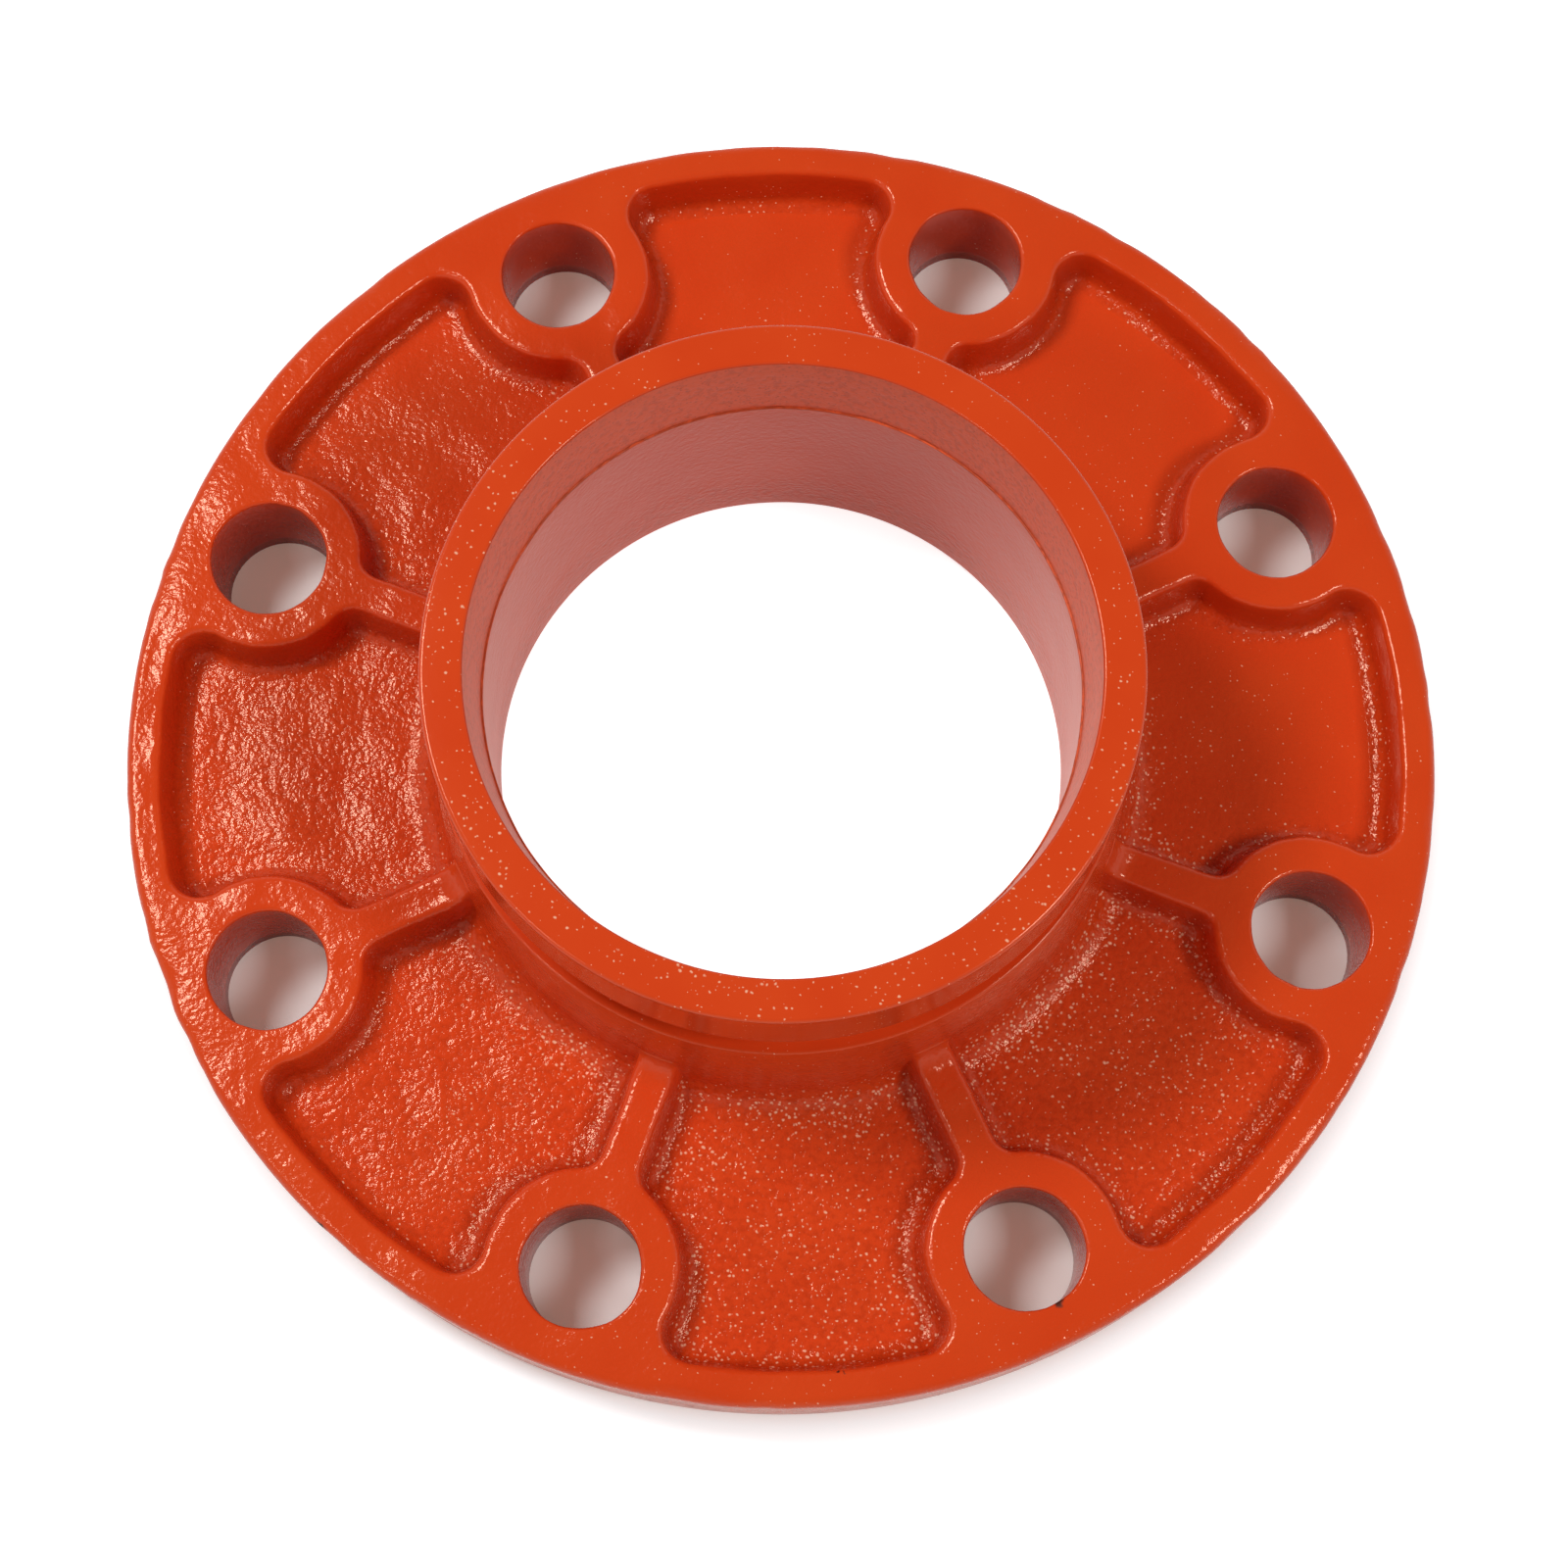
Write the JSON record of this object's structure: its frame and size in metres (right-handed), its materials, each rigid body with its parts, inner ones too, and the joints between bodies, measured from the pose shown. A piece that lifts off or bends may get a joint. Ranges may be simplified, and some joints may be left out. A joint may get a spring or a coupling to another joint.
{
  "type": "flange adaptor",
  "caption": "Cast flange adaptor: drilled flange with a ribbed and pocketed back, and a neck with a coupling groove round a straight-through bore.",
  "frame": {"origin": "centre of the bore on the flange's mating face, which the part stands on", "axes": "+Z along the bore towards the grooved end; the bolt holes straddle the X and Y axes"},
  "size_m": [0.212, 0.212, 0.063],
  "materials": {
    "red_paint": "glossy orange-red paint over a sand-cast iron surface"
  },
  "bodies": {
    "root": {"flange_adaptor": "red_paint"}
  },
  "joints": []
}
